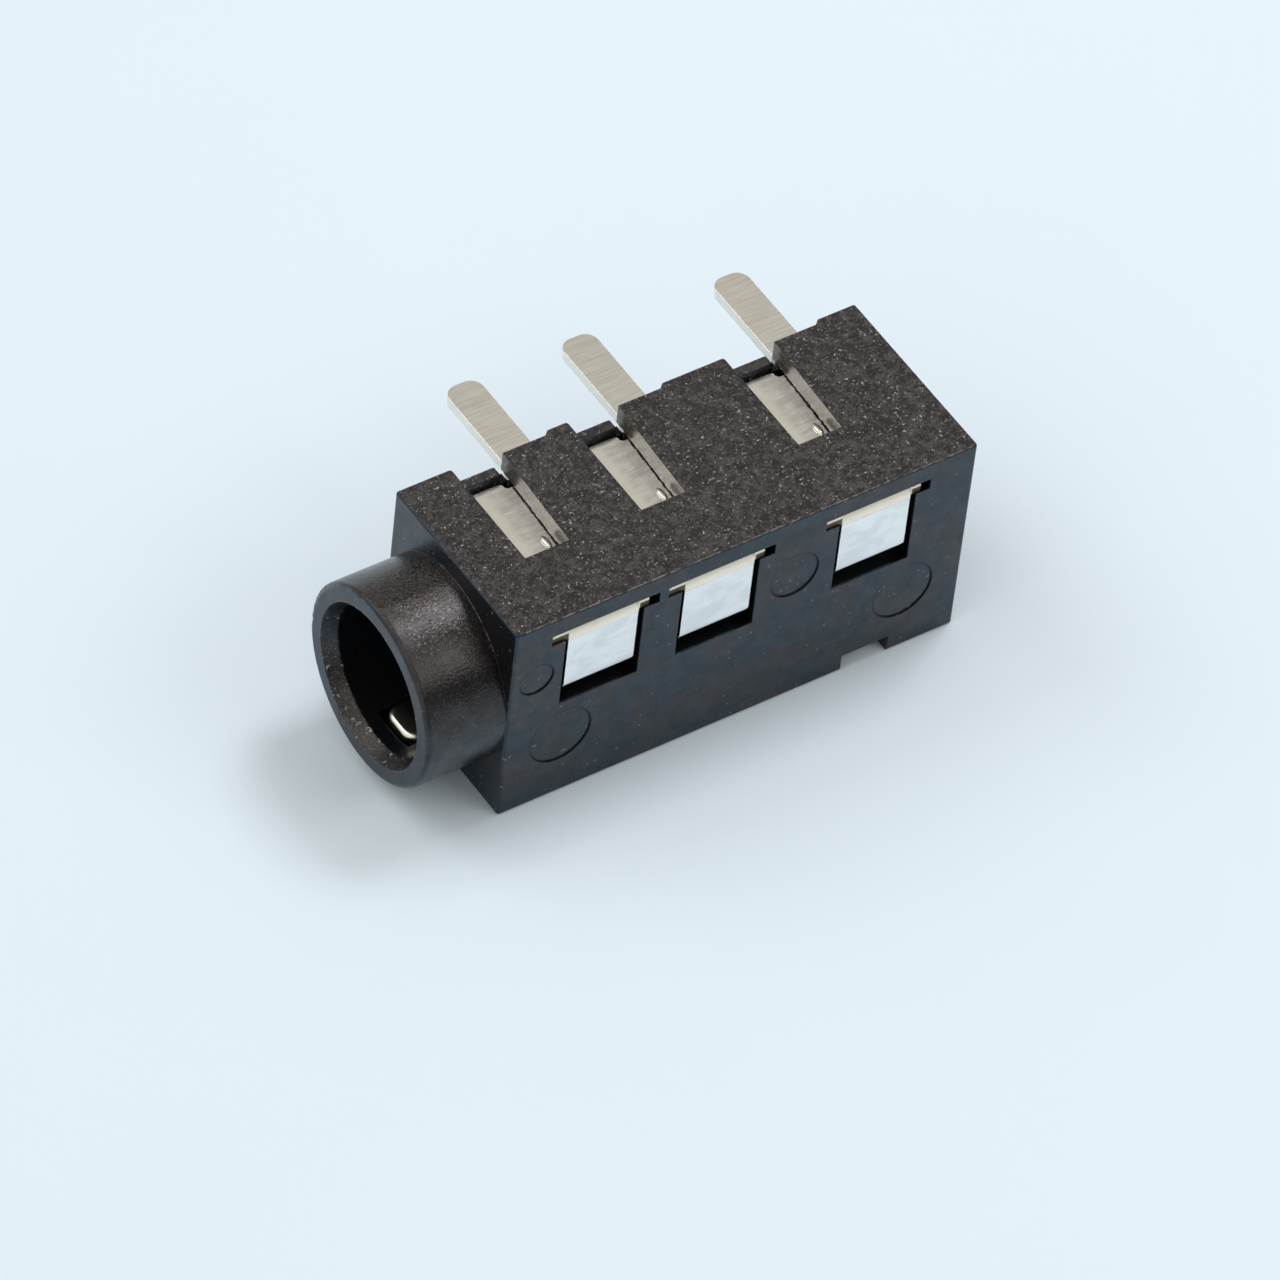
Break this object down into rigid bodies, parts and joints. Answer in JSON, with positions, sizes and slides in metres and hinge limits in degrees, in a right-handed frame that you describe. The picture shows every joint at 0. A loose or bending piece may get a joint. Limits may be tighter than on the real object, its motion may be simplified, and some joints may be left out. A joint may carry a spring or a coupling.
{
  "type": "audio jack socket",
  "caption": "Board-mounting 3.5 mm audio jack socket: black moulded block with a round barrel, slotted side, windows, folded spring contacts and solder pins.",
  "frame": {"origin": "where the bore's axis meets the front of the body, at the root of the barrel", "axes": "-X along the bore, out of its mouth; +Y towards the circuit board, the way the solder pins point; +Z towards the slotted, textured side, so that the part lies on its plain side"},
  "size_m": [0.014, 0.0075, 0.0058],
  "materials": {
    "housing": "black moulding, satin faces, spark-eroded texture on the slotted side",
    "contact_metal": "bright tin plating, brushed"
  },
  "bodies": {
    "root": {"housing": "housing", "second_ring_contact": "contact_metal", "first_ring_contact": "contact_metal", "tip_contact": "contact_metal", "sleeve_contact": "contact_metal"}
  },
  "joints": []
}
